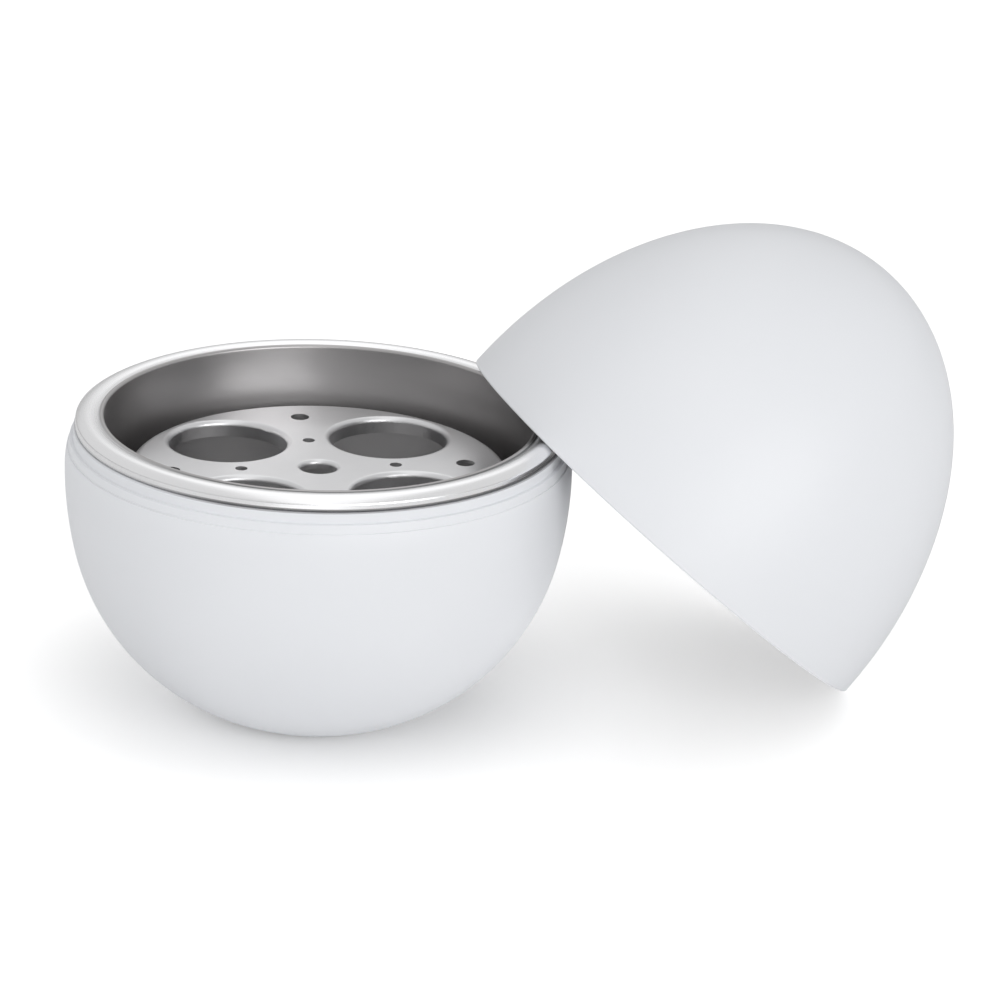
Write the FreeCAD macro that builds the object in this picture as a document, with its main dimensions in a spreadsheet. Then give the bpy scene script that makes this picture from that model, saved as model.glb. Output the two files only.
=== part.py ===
import FreeCAD, Part
import math
import os
import Sketcher

# Microwave egg cooker: an egg-shaped vessel in two moulded plastic halves.
# The lower half is a bowl with an aluminium liner, whose crowned rim hooks over the bowl's lip, and
# a pressed aluminium rack for four eggs stands in it. The upper half is a dome with an aluminium
# liner of its own. The dome is shown lifted off: it leans on the bowl, one point of its edge on the table.
# Frame: origin at the centre of the bowl's flat foot, +Z up, +X from the bowl to the leaning lid.

doc = FreeCAD.newDocument("egg_cooker")

# Driving dimensions
# Each line gives the name of a size, its value in millimetres (or degrees) and what it is.
# Everything else follows from these, so the liner, the rack and the lid keep their clearances to
# the bowl when the bowl's size is changed.
SIZES = (
    ("body_radius", 70.0, "bowl, outer radius at its widest level"),
    ("widest_height", 70.4, "bowl, height of the widest level above the table"),
    ("foot_angle", 20.0, "bowl, slope of its side where it leaves the flat foot, in degrees"),
    ("side_arc", 105.0, "bowl, radius of the flatter arc below the widest level"),
    ("side_drop", 23.9, "bowl, height of that arc; a rounder one goes on from it to the foot"),
    ("shell_wall", 2.2, "bowl, wall thickness"),
    ("foot_thickness", 2.8, "bowl, thickness of the flat foot"),
    ("foot_round", 1.2, "bowl, rounding between foot and side"),
    ("neck_arc", 25.0, "bowl, radius of the arc above the widest level"),
    ("neck_rise", 5.4, "bowl, height of that arc"),
    ("step_width", 0.35, "collar, width of the lower step"),
    ("apron_rise", 2.5, "collar, height from the lower step to the lid seat"),
    ("apron_taper", 0.35, "collar, how much the apron draws in over its height"),
    ("seat_width", 1.05, "collar, width of the ledge that the lid stands on"),
    ("collar_rise", 3.1, "collar, height from the lid seat to the shoulder"),
    ("collar_round", 0.3, "collar, rounding of the shoulder's edge"),
    ("lip_wall", 1.9, "bowl, thickness of the lip inside the metal rim"),
    ("lip_gap", 0.2, "clearance between the lip and the metal rim around it"),
    ("liner_sheet", 0.8, "thickness of the spun aluminium"),
    ("rim_inset", 0.4, "metal rim, how far its side stands inside the collar"),
    ("rim_height", 3.8, "metal rim, height of its top above the shoulder"),
    ("rim_crown", 5.5, "metal rim, radius of its convex top"),
    ("rim_crown_inset", 3.8, "metal rim, distance from its side to the middle of the convex top"),
    ("rim_inner_width", 4.2, "metal rim, distance from there to the liner's wall"),
    ("rim_corner", 1.0, "metal rim, rounding at the top of its side"),
    ("rim_seam", 0.3, "metal rim, gap between its lower edge and the shoulder"),
    ("bead_radius", 0.8, "metal rim, radius of the small bead at its inner edge"),
    ("bead_drop", 1.0, "metal rim, depth of the bead's centre below the top"),
    ("liner_straight", 5.5, "liner, height of the upright wall below the shoulder"),
    ("liner_floor_gap", 9.3, "clearance between the bowl's foot and the liner's floor"),
    ("liner_floor_radius", 17.7, "liner, radius of the flat floor"),
    ("rack_wall_gap", 6.86, "clearance between the rack's skirt and the liner's upright wall"),
    ("rack_height", 24.5, "rack, height from its foot to the top of the plate"),
    ("rack_sheet", 0.9, "rack, thickness of the pressed sheet"),
    ("rack_fold", 2.4, "rack, outer radius of the fold between plate and skirt"),
    ("rack_seat_gap", 0.15, "clearance between the rack's foot and the liner"),
    ("rack_turn", 39.0, "rack, how far it is turned in the bowl, in degrees"),
    ("cup_border", 4.0, "rack, width of plate outside an egg hole"),
    ("cup_gap", 12.45, "rack, width of plate between two egg holes"),
    ("cup_flare", 1.5, "rack, radius of the rolled edge of an egg hole"),
    ("cup_collar", 4.6, "rack, depth of the collar of an egg hole"),
    ("cups", 4, "rack, number of egg holes"),
    ("lift_hole_radius", 5.0, "rack, radius of the hole in the middle"),
    ("lift_hole_flare", 1.2, "rack, radius of the rolled edge of that hole"),
    ("lift_hole_collar", 2.4, "rack, depth of the collar of that hole"),
    ("vent_radius", 2.6, "rack, radius of the outer steam holes"),
    ("vent_border", 11.4, "rack, distance of the outer steam holes' middles from the skirt"),
    ("small_vent_radius", 1.7, "rack, radius of the inner steam holes"),
    ("small_vent_gap", 16.5, "rack, distance of the inner steam holes' middles from the lift hole"),
    ("port_radius", 5.0, "rack, radius of the arched water ports in the skirt"),
    ("ports", 8, "rack, number of water ports"),
    ("lid_height", 95.7, "lid, height from its edge to its top"),
    ("lid_wall", 1.8, "lid, wall thickness"),
    ("lid_fit", 0.33, "clearance between the lid's mouth and the collar"),
    ("lid_edge_round", 0.5, "lid, rounding of its edge"),
    ("rib_level", 8.3, "lid, height of the inner rib above the edge"),
    ("rib_height", 1.0, "lid, height of the rib"),
    ("rib_depth", 1.0, "lid, how far the rib stands out of the wall"),
    ("dome_gap", 0.15, "clearance between the lid's liner and what holds it"),
    ("dome_flange", 3.2, "lid liner, width of its flange"),
    ("dome_top_gap", 2.65, "clearance between the tops of the lid and its liner"),
    ("dome_round", 1.5, "lid liner, rounding between flange and dome"),
    ("dome_flat", 3.0, "lid liner, radius of the small flat at its top"),
    ("lean_lap", 6.44, "lid, how far its upper edge stands above the metal rim while it leans"),
    ("lean_gap", 0.1, "clearance between the leaning lid and the metal rim"),
)

sheet = doc.addObject("Spreadsheet::Sheet", "size")
for row, (alias, number, meaning) in enumerate(SIZES, start=1):
    sheet.set("A%d" % row, meaning)
    sheet.set("B%d" % row, str(number))
    sheet.setAlias("B%d" % row, alias)
doc.recompute()

# Sizes that follow from the driving ones, as expressions on the sheet
MEET_LEVEL = "(size.widest_height - size.side_drop)"
HAUNCH_ARC = "(%s / (cos(size.foot_angle * 1 deg) - size.side_drop / size.side_arc))" % MEET_LEVEL
NECK_LEVEL = "(size.widest_height + size.neck_rise)"
NECK_RADIUS = "(size.body_radius - size.neck_arc + sqrt(size.neck_arc ^ 2 - size.neck_rise ^ 2))"
APRON_RADIUS = "(%s - size.step_width)" % NECK_RADIUS
SEAT_LEVEL = "(%s + size.apron_rise)" % NECK_LEVEL
SEAT_RADIUS = "(%s - size.apron_taper)" % APRON_RADIUS
COLLAR_RADIUS = "(%s - size.seat_width)" % SEAT_RADIUS
SHOULDER_LEVEL = "(%s + size.collar_rise)" % SEAT_LEVEL

RIM_RADIUS = "(%s - size.rim_inset)" % COLLAR_RADIUS
RIM_INSIDE = "(%s - size.liner_sheet)" % RIM_RADIUS
RIM_TOP = "(%s + size.rim_height)" % SHOULDER_LEVEL
CROWN_X = "(%s - size.rim_crown_inset)" % RIM_RADIUS
CROWN_Z = "(%s - size.rim_crown)" % RIM_TOP
LINER_RADIUS = "(%s - size.rim_inner_width)" % CROWN_X
LINER_OUTSIDE = "(%s + size.liner_sheet)" % LINER_RADIUS
BEAD_LEVEL = "(%s - size.bead_drop)" % RIM_TOP
BOWL_LEVEL = "(%s - size.liner_straight)" % SHOULDER_LEVEL
FLOOR_UNDER = "(size.foot_thickness + size.liner_floor_gap)"
FLOOR_LEVEL = "(%s + size.liner_sheet)" % FLOOR_UNDER
# The liner's wall is part of an ellipse whose middle is at the bowl level
LINER_DEPTH = ("((%s - %s) / sqrt(1 - (size.liner_floor_radius / %s) ^ 2))"
               % (BOWL_LEVEL, FLOOR_LEVEL, LINER_RADIUS))
LINER_OUTSIDE_DEPTH = "(%s + size.liner_sheet)" % LINER_DEPTH

LIP_RADIUS = "(%s - size.lip_gap)" % RIM_INSIDE
LIP_INSIDE = "(%s - size.lip_wall)" % LIP_RADIUS
LIP_REACH = "(%s - %s)" % (LIP_RADIUS, CROWN_X)
UNDER_CROWN = "(size.rim_crown - size.liner_sheet)"
LIP_LEVEL = "(%s + sqrt(%s ^ 2 - %s ^ 2) - size.lip_gap)" % (CROWN_Z, UNDER_CROWN, LIP_REACH)

LID_INSIDE = "(%s + size.lid_fit)" % COLLAR_RADIUS
LID_RADIUS = "(%s + size.lid_wall)" % LID_INSIDE
LID_INNER_HEIGHT = "(size.lid_height - size.lid_wall)"

RACK_RADIUS = "(%s - size.rack_wall_gap)" % LINER_RADIUS
RACK_INSIDE = "(%s - size.rack_sheet)" % RACK_RADIUS
RACK_BEND_X = "(%s - size.rack_fold)" % RACK_RADIUS
RACK_BEND_Z = "(size.rack_height - size.rack_fold)"
RACK_UNDER = "(size.rack_height - size.rack_sheet)"
# The egg holes are as wide as the plate's border and the bars between them allow
CUP_REACH = "(%s - size.cup_border)" % RACK_RADIUS
CUP_CHORD = "(2 * sin(180 deg / size.cups))"
CUP_RADIUS = "((%s * %s - size.cup_gap) / (2 + %s))" % (CUP_CHORD, CUP_REACH, CUP_CHORD)
CUP_PITCH = "(%s - %s)" % (CUP_REACH, CUP_RADIUS)
VENT_PITCH = "(%s - size.vent_border)" % RACK_RADIUS
SMALL_VENT_PITCH = "(size.lift_hole_radius + size.small_vent_gap)"


def number(expression):
    """The value of an expression on the sheet."""
    return float(sheet.evalExpression(expression))


def less(first, second):
    """Expression for one size less another."""
    return "(%s - %s)" % (first, second)


def ellipse_radius(half_width, half_height, rise):
    """Expression for the radius of an upright ellipse at a distance above or below its middle."""
    return "(%s * sqrt(1 - (%s / %s) ^ 2))" % (half_width, rise, half_height)


def crossing(first, first_radius, second, second_radius):
    """Where two circles cross: the left one of the two points, seen from the first centre to the second."""
    span = (second - first).Length
    along = (span ** 2 + first_radius ** 2 - second_radius ** 2) / (2 * span)
    across = math.sqrt(first_radius ** 2 - along ** 2)
    way = (second - first) / span
    return first + way * along + FreeCAD.Vector(-way.y, way.x, 0) * across


def point(x, y):
    """A vector at two coordinates, each a number or an expression on the sheet."""
    return FreeCAD.Vector(*[number(c) if isinstance(c, str) else c for c in (x, y)], 0)


def new_body(label):
    """An empty body whose label names its file."""
    body = doc.addObject("PartDesign::Body", label)
    body.Label = label
    return body


def origin_part(body, role):
    """One of a body's own origin planes or axes."""
    return [item for item in body.Origin.OriginFeatures if item.Role == role][0]


def new_sketch(body, name, role):
    """An empty sketch on one of a body's own origin planes."""
    sketch = body.newObject("Sketcher::SketchObject", name)
    sketch.AttachmentSupport = [(origin_part(body, role), "")]
    sketch.MapMode = "FlatFace"
    return sketch


def bind(sketch, kind, elements, expression):
    """Add a dimension whose value is an expression on the sheet."""
    index = sketch.addConstraint(Sketcher.Constraint(kind, *elements, number(expression)))
    sketch.setExpression("Constraints[%d]" % index, expression)


def fix_point(sketch, geometry, end, x, y):
    """Dimension a point from the sketch's origin, in each coordinate that is given as text."""
    for coordinate, kind, axis in ((x, "DistanceX", -2), (y, "DistanceY", -1)):
        if coordinate == "0":
            sketch.addConstraint(Sketcher.Constraint("PointOnObject", geometry, end, axis))
        elif isinstance(coordinate, str):
            bind(sketch, kind, (-1, 1, geometry, end), coordinate)


def add_circle(sketch, x, y, radius):
    """A dimensioned circle."""
    circle = sketch.addGeometry(Part.Circle(point(x, y), FreeCAD.Vector(0, 0, 1), number(radius)))
    fix_point(sketch, circle, 3, x, y)
    bind(sketch, "Radius", (circle,), radius)


class Outline:
    """A closed outline in a sketch: a coordinate given as text is a dimension bound to the sheet,
    and one given as a number is only a first guess, which the joins to its neighbours settle."""

    def __init__(self, body, name, role="XZ_Plane"):
        self.sketch = new_sketch(body, name, role)
        self.first = None
        self.last = None

    def start(self, x, y):
        """Set the first point."""
        self.begin = (x, y)
        self.here = point(x, y)

    def join(self, geometry, start, end, x, y, smooth):
        """Tie a new edge to the one before it, tangent to it or only end to end."""
        if self.last is None:
            self.first = (geometry, start)
            fix_point(self.sketch, geometry, start, *self.begin)
        else:
            kind = "Tangent" if smooth else "Coincident"
            self.sketch.addConstraint(Sketcher.Constraint(kind, *self.last, geometry, start))
        fix_point(self.sketch, geometry, end, x, y)
        self.last = (geometry, end)
        self.here = point(x, y)

    def line(self, x, y, smooth=False):
        """A straight edge to a point."""
        edge = self.sketch.addGeometry(Part.LineSegment(self.here, point(x, y)))
        self.join(edge, 1, 2, x, y, smooth)
        return edge

    def arc(self, x, y, centre_x, centre_y, clockwise=False, smooth=False, radius=None):
        """A round edge to a point, about a centre."""
        centre = point(centre_x, centre_y)
        target = point(x, y)
        ends = [self.here - centre, target - centre]
        if clockwise:
            ends.reverse()
        angles = [math.atan2(end.y, end.x) for end in ends]
        circle = Part.Circle(centre, FreeCAD.Vector(0, 0, 1), (self.here - centre).Length)
        edge = self.sketch.addGeometry(Part.ArcOfCircle(circle, *angles))
        fix_point(self.sketch, edge, 3, centre_x, centre_y)
        if clockwise:
            self.join(edge, 2, 1, x, y, smooth)
        else:
            self.join(edge, 1, 2, x, y, smooth)
        if radius:
            bind(self.sketch, "Radius", (edge,), radius)
        return edge

    def ellipse(self, x, y, centre_y, half_width, half_height, clockwise=False):
        """An edge of a level or upright ellipse centred on the axis, to a point."""
        centre = point("0", centre_y)
        tall = number(half_height)
        wide = number(half_width)
        target = point(x, y)
        # An ellipse in a sketch counts its angle, to the left, from its longer half axis
        stands = tall >= wide
        if stands:
            ends = (FreeCAD.Vector(0, tall, 0), FreeCAD.Vector(-wide, 0, 0))
            across = (half_height, half_width)
        else:
            ends = (FreeCAD.Vector(wide, 0, 0), FreeCAD.Vector(0, tall, 0))
            across = (half_width, half_height)
        angles = []
        for way in (self.here - centre, target - centre):
            along = [way.dot(end) / end.dot(end) for end in ends]
            angles.append(math.atan2(along[1], along[0]))
        if clockwise:
            angles.reverse()
        curve = Part.Ellipse(centre + ends[0], centre + ends[1], centre)
        edge = self.sketch.addGeometry(Part.ArcOfEllipse(curve, *angles))
        self.sketch.exposeInternalGeometry(edge)
        fix_point(self.sketch, edge, 3, "0", centre_y)
        self.sketch.addConstraint(Sketcher.Constraint("Vertical" if stands else "Horizontal", edge + 1))
        for axis, half in enumerate(across, start=edge + 1):
            bind(self.sketch, "Distance", (axis,), "2 * " + half)
        if clockwise:
            self.join(edge, 2, 1, x, y, False)
        else:
            self.join(edge, 1, 2, x, y, False)
        return edge

    def close(self):
        """A straight edge back to the first point."""
        edge = self.sketch.addGeometry(Part.LineSegment(self.here, point(*self.begin)))
        self.sketch.addConstraint(Sketcher.Constraint("Coincident", *self.last, edge, 1))
        self.sketch.addConstraint(Sketcher.Constraint("Coincident", edge, 2, *self.first))
        return self.sketch

    def share_centre(self, edge, other):
        """Put two round edges about one centre."""
        self.sketch.addConstraint(Sketcher.Constraint("Coincident", edge, 3, other, 3))

    def turning_line(self, x):
        """A construction line to turn the outline about, upright at a distance from the origin."""
        upright = Part.LineSegment(point(x, "0"), point(x, "size.rack_height"))
        line = self.sketch.addGeometry(upright, True)
        fix_point(self.sketch, line, 1, x, "0")
        fix_point(self.sketch, line, 2, x, "size.rack_height")


def revolve(body, name, sketch, axis="V_Axis"):
    """Turn a closed outline once around an axis of its sketch."""
    feature = body.newObject("PartDesign::Revolution", name)
    feature.Profile = sketch
    feature.ReferenceAxis = (sketch, [axis])
    feature.Angle = 360
    doc.recompute()
    return feature


def pocket(body, name, sketch, length):
    """Cut a sketch through the body, upwards or outwards from the sketch's plane."""
    before = body.Shape.Volume
    feature = body.newObject("PartDesign::Pocket", name)
    feature.Profile = sketch
    feature.Reversed = True
    feature.setExpression("Length", length)
    doc.recompute()
    if feature.Shape.Volume >= before:
        raise RuntimeError(name + " cuts nothing")
    return feature


def repeat_round(body, name, features, count):
    """Repeat some features evenly around the body's axis."""
    pattern = body.newObject("PartDesign::PolarPattern", name)
    pattern.Originals = list(features)
    pattern.Axis = (origin_part(body, "Z_Axis"), [""])
    pattern.Angle = 360
    pattern.setExpression("Occurrences", count)
    body.Tip = pattern
    doc.recompute()
    return pattern


def ring_edges(body, radius, level):
    """Names of the full circles round the body's axis at a radius and a level."""
    near = 0.01
    names = []
    for index, edge in enumerate(body.Shape.Edges, start=1):
        if edge.Degenerated or not isinstance(edge.Curve, Part.Circle):
            continue
        off_radius = abs(edge.Curve.Radius - number(radius))
        off_level = abs(edge.Curve.Center.z - number(level))
        if max(off_radius, off_level) < near:
            names.append("Edge%d" % index)
    return names


def round_edges(body, name, edges, radius):
    """Fillet some edges of a body to a size from the sheet."""
    fillet = body.newObject("PartDesign::Fillet", name)
    fillet.Base = (body.Tip if body.Tip != fillet else fillet.BaseFeature, edges)
    fillet.Radius = number(radius)
    fillet.setExpression("Radius", radius)
    doc.recompute()
    return fillet


def make_base_shell():
    """The moulded bowl: foot, haunch, side, neck, stepped collar with the lid's seat, and the lip."""
    body = new_body("base_shell")
    side = number("size.side_arc")
    drop = number("size.side_drop")
    haunch = number(HAUNCH_ARC)
    slope = math.radians(number("size.foot_angle"))
    wall = number("size.shell_wall")
    side_centre = point("size.body_radius - size.side_arc", "size.widest_height")
    neck_centre = point("size.body_radius - size.neck_arc", "size.widest_height")

    # The haunch arc is tangent to the end of the side arc and meets the table at the foot's slope
    outward = FreeCAD.Vector(math.sqrt(side ** 2 - drop ** 2), -drop, 0) / side
    meet = side_centre + outward * side
    haunch_centre = meet - outward * haunch
    foot_radius = haunch_centre.x + haunch * math.sin(slope)
    inner_meet = meet - outward * wall
    inner_foot_rise = number("size.foot_thickness") - haunch_centre.y
    inner_foot = haunch_centre.x + math.sqrt((haunch - wall) ** 2 - inner_foot_rise ** 2)

    outline = Outline(body, "shell_outline")
    outline.start("0", "0")
    outline.line(foot_radius, "0")
    haunch_edge = outline.arc(meet.x, MEET_LEVEL, haunch_centre.x, haunch_centre.y, radius=HAUNCH_ARC)
    side_edge = outline.arc("size.body_radius", "size.widest_height", side_centre.x,
                            "size.widest_height", smooth=True, radius="size.side_arc")
    neck_edge = outline.arc(number(NECK_RADIUS), NECK_LEVEL, neck_centre.x,
                            "size.widest_height", radius="size.neck_arc")
    outline.line(APRON_RADIUS, NECK_LEVEL)
    outline.line(SEAT_RADIUS, SEAT_LEVEL)
    outline.line(COLLAR_RADIUS, SEAT_LEVEL)
    outline.line(COLLAR_RADIUS, SHOULDER_LEVEL)
    outline.line(LIP_RADIUS, SHOULDER_LEVEL)
    outline.line(LIP_RADIUS, LIP_LEVEL)
    outline.line(LIP_INSIDE, LIP_LEVEL)
    outline.line(LIP_INSIDE, less(SHOULDER_LEVEL, "size.shell_wall"))
    outline.line(less(COLLAR_RADIUS, "size.shell_wall"), less(SEAT_LEVEL, "size.shell_wall"))

    # The inner faces run parallel to the outer ones
    inner_neck = less("size.neck_arc", "size.shell_wall")
    neck_top = number("size.neck_rise - size.shell_wall")
    neck_top_x = neck_centre.x + math.sqrt(number(inner_neck) ** 2 - neck_top ** 2)
    outline.line(neck_top_x, less(NECK_LEVEL, "size.shell_wall"))
    inner_neck_edge = outline.arc(number("size.body_radius - size.shell_wall"), "size.widest_height",
                                  neck_centre.x, neck_centre.y, clockwise=True, radius=inner_neck)
    inner_side_edge = outline.arc(inner_meet.x, inner_meet.y, side_centre.x, side_centre.y,
                                  clockwise=True)
    inner_haunch_edge = outline.arc(inner_foot, "size.foot_thickness", haunch_centre.x,
                                    haunch_centre.y, clockwise=True, smooth=True)
    outline.line("0", "size.foot_thickness")
    sketch = outline.close()
    outline.share_centre(neck_edge, inner_neck_edge)
    outline.share_centre(side_edge, inner_side_edge)
    outline.share_centre(haunch_edge, inner_haunch_edge)

    revolve(body, "shell_turned", sketch)
    round_edges(body, "foot_edge", ring_edges(body, str(foot_radius), "0"), "size.foot_round")
    round_edges(body, "collar_edge", ring_edges(body, COLLAR_RADIUS, SHOULDER_LEVEL), "size.collar_round")
    return body


def make_base_liner():
    """The spun bowl: flat floor, elliptic wall, a bead at the inner edge and a crowned rim over the lip."""
    body = new_body("base_liner")
    seam_level = "(%s + size.rim_seam)" % SHOULDER_LEVEL
    bead_x = "(%s + size.bead_radius)" % LINER_RADIUS
    crown = point(CROWN_X, CROWN_Z)
    crown_radius = number("size.rim_crown")
    corner_radius = number("size.rim_corner")

    # The corner arc touches the rim's side and the inside of the crown
    corner_x = number("size.rim_crown_inset - size.rim_corner")
    corner_z = math.sqrt((crown_radius - corner_radius) ** 2 - corner_x ** 2)
    corner = crown + FreeCAD.Vector(corner_x, corner_z, 0)
    corner_end = crown + (corner - crown).normalize() * crown_radius
    bead = point(bead_x, BEAD_LEVEL)
    groove = crossing(bead, number("size.bead_radius"), crown, crown_radius)
    under = number(UNDER_CROWN)
    under_start = number(less(CROWN_X, LINER_OUTSIDE))
    under_end = number(less(RIM_INSIDE, CROWN_X))
    outer_drop = less(BOWL_LEVEL, FLOOR_UNDER)
    outer_floor = ellipse_radius(LINER_OUTSIDE, LINER_OUTSIDE_DEPTH, outer_drop)

    outline = Outline(body, "liner_outline")
    outline.start("0", FLOOR_UNDER)
    outline.line(number(outer_floor), FLOOR_UNDER)
    outline.ellipse(number(LINER_OUTSIDE), BOWL_LEVEL, BOWL_LEVEL, LINER_OUTSIDE, LINER_OUTSIDE_DEPTH)
    outline.line(LINER_OUTSIDE, crown.y + math.sqrt(under ** 2 - under_start ** 2))
    outline.arc(RIM_INSIDE, crown.y + math.sqrt(under ** 2 - under_end ** 2), CROWN_X, CROWN_Z,
                clockwise=True, radius=UNDER_CROWN)
    outline.line(RIM_INSIDE, seam_level)
    outline.line(RIM_RADIUS, seam_level)
    outline.line(RIM_RADIUS, corner.y)
    outline.arc(corner_end.x, corner_end.y, corner.x, corner.y, smooth=True, radius="size.rim_corner")
    outline.arc(groove.x, groove.y, CROWN_X, CROWN_Z, smooth=True, radius="size.rim_crown")
    outline.arc(number(LINER_RADIUS), BEAD_LEVEL, bead_x, BEAD_LEVEL, radius="size.bead_radius")
    outline.line(number(LINER_RADIUS), BOWL_LEVEL)
    outline.ellipse(number("size.liner_floor_radius"), FLOOR_LEVEL, BOWL_LEVEL, LINER_RADIUS, LINER_DEPTH,
                    clockwise=True)
    outline.line("0", FLOOR_LEVEL)
    revolve(body, "liner_turned", outline.close())
    return body


def add_flanged_hole(body, name, pitch, radius, flare, depth):
    """A round hole in the rack's plate whose edge is rolled down into a collar.
    Gives the cut and the collar, so that both can be repeated."""
    plate = "size.rack_height"
    wall = "(%s + %s)" % (pitch, radius)
    bend_x = "(%s + %s)" % (wall, flare)
    bend_z = "(%s - %s)" % (plate, flare)
    collar_end = "(%s - %s)" % (plate, depth)

    cut_sketch = new_sketch(body, name + "_opening", "XY_Plane")
    add_circle(cut_sketch, pitch, "0", "%s + %s" % (radius, flare))
    cut = pocket(body, name + "_cut", cut_sketch, plate + " + 1")

    outline = Outline(body, name + "_collar_outline")
    outline.start(bend_x, plate)
    outline.arc(number(wall), bend_z, bend_x, bend_z)
    outline.line(wall, collar_end)
    outline.line("(%s + size.rack_sheet)" % wall, collar_end)
    outline.line("(%s + size.rack_sheet)" % wall, bend_z)
    outline.arc(bend_x, number(RACK_UNDER), bend_x, bend_z, clockwise=True)
    sketch = outline.close()
    outline.turning_line(pitch)
    return cut, revolve(body, name + "_collar", sketch, "Axis0")


def make_egg_rack():
    """The pressed rack: a plate with four collared egg holes, a hole to lift it by, steam holes, and a
    skirt with water ports. Its frame stands at the middle of the skirt's foot."""
    body = new_body("egg_rack")
    outline = Outline(body, "pan_outline")
    outline.start(RACK_RADIUS, "0")
    outline.line(RACK_RADIUS, RACK_BEND_Z)
    outline.arc(RACK_BEND_X, number("size.rack_height"), RACK_BEND_X, RACK_BEND_Z)
    outline.line("0", "size.rack_height")
    outline.line("0", RACK_UNDER)
    outline.line(RACK_BEND_X, RACK_UNDER)
    outline.arc(number(RACK_INSIDE), RACK_BEND_Z, RACK_BEND_X, RACK_BEND_Z, clockwise=True)
    outline.line(RACK_INSIDE, "0")
    revolve(body, "pan_turned", outline.close())

    cup = add_flanged_hole(body, "cup", CUP_PITCH, CUP_RADIUS, "size.cup_flare", "size.cup_collar")
    repeat_round(body, "cup_ring", cup, "size.cups")
    add_flanged_hole(body, "lift_hole", "0", "size.lift_hole_radius", "size.lift_hole_flare",
                     "size.lift_hole_collar")

    # The steam holes lie midway between the egg holes
    vents = new_sketch(body, "vent_circles", "XY_Plane")
    half_turn = "(180 deg / size.cups)"
    for pitch, radius in ((VENT_PITCH, "size.vent_radius"), (SMALL_VENT_PITCH, "size.small_vent_radius")):
        add_circle(vents, "%s * cos(%s)" % (pitch, half_turn), "%s * sin(%s)" % (pitch, half_turn), radius)
    vent_cut = pocket(body, "vent_cut", vents, "size.rack_height + 1")
    repeat_round(body, "vent_ring", [vent_cut], "size.cups")

    ports = new_sketch(body, "port_circle", "YZ_Plane")
    add_circle(ports, "0", "0", "size.port_radius")
    port_cut = pocket(body, "port_cut", ports, RACK_RADIUS + " + 1")
    repeat_round(body, "port_ring", [port_cut], "size.ports")
    return body


def make_lid_shell():
    """The moulded dome: half an egg with a rounded edge and an inner rib that carries its liner.
    Its frame stands at the middle of its mouth, with +Z towards its top."""
    body = new_body("lid_shell")
    outline = Outline(body, "lid_outline")
    outline.start(number(LID_RADIUS), "0")
    outline.ellipse("0", number("size.lid_height"), "0", LID_RADIUS, "size.lid_height")
    outline.line("0", number(LID_INNER_HEIGHT))
    outline.ellipse(number(LID_INSIDE), "0", "0", LID_INSIDE, LID_INNER_HEIGHT, clockwise=True)
    revolve(body, "lid_turned", outline.close())

    rib_top = "(size.rib_level + size.rib_height)"
    rib_wall = ellipse_radius(LID_INSIDE, LID_INNER_HEIGHT, "size.rib_level")
    rib_root = "(%s + size.lid_wall / 2)" % rib_wall
    rib_crest = "(%s - size.rib_depth)" % rib_wall
    rib = Outline(body, "rib_outline")
    rib.start(rib_root, "size.rib_level")
    rib.line(rib_root, rib_top)
    rib.line(rib_crest, rib_top)
    rib.line(rib_crest, "(size.rib_level + size.rib_height / 2)")
    revolve(body, "rib_turned", rib.close())

    edges = ring_edges(body, LID_RADIUS, "0") + ring_edges(body, LID_INSIDE, "0")
    round_edges(body, "lid_edge", edges, "size.lid_edge_round")
    return body


def make_lid_liner():
    """The spun dome inside the lid, with a flange that stands on the lid's rib. Its frame is the lid's."""
    body = new_body("lid_liner")
    flange_under = "(size.rib_level + size.rib_height + size.dome_gap)"
    flange_top = "(%s + size.liner_sheet)" % flange_under
    dome_level = "(%s + size.dome_round)" % flange_top
    flange_radius = "(%s - size.dome_gap)" % ellipse_radius(LID_INSIDE, LID_INNER_HEIGHT, flange_top)
    dome_radius = "(%s - size.dome_flange)" % flange_radius
    dome_inside = "(%s - size.liner_sheet)" % dome_radius
    bend_x = "(%s + size.dome_round)" % dome_radius
    dome_height = "(%s - size.dome_top_gap - %s)" % (LID_INNER_HEIGHT, dome_level)
    inner_height = less(dome_height, "size.liner_sheet")
    outer_top = "(%s + %s)" % (dome_level, ellipse_radius(dome_height, dome_radius, "size.dome_flat"))
    inner_top = "(%s + %s)" % (dome_level, ellipse_radius(inner_height, dome_inside, "size.dome_flat"))
    outline = Outline(body, "dome_outline")
    outline.start(flange_radius, flange_under)
    outline.line(flange_radius, flange_top)
    outline.line(bend_x, flange_top)
    outline.arc(number(dome_radius), dome_level, number(bend_x), dome_level, clockwise=True)
    outline.ellipse("size.dome_flat", number(outer_top), dome_level, dome_radius, dome_height)
    outline.line("0", outer_top)
    outline.line("0", inner_top)
    outline.line("size.dome_flat", number(inner_top))
    outline.ellipse(number(dome_inside), dome_level, dome_level, dome_inside, inner_height,
                    clockwise=True)
    outline.arc(bend_x, number(flange_under), bend_x, dome_level)
    revolve(body, "dome_turned", outline.close())
    return body


def place_rack(rack):
    """Stand the rack's foot where the liner's wall is as wide as its skirt."""
    seat_radius = "(%s + size.rack_seat_gap)" % RACK_RADIUS
    drop = "(%s * sqrt(1 - (%s / %s) ^ 2))" % (LINER_DEPTH, seat_radius, LINER_RADIUS)
    rack.setExpression(".Placement.Base.z", "%s * 1 mm" % less(BOWL_LEVEL, drop))
    rack.setExpression(".Placement.Rotation.Angle", "size.rack_turn * 1 deg")


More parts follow.
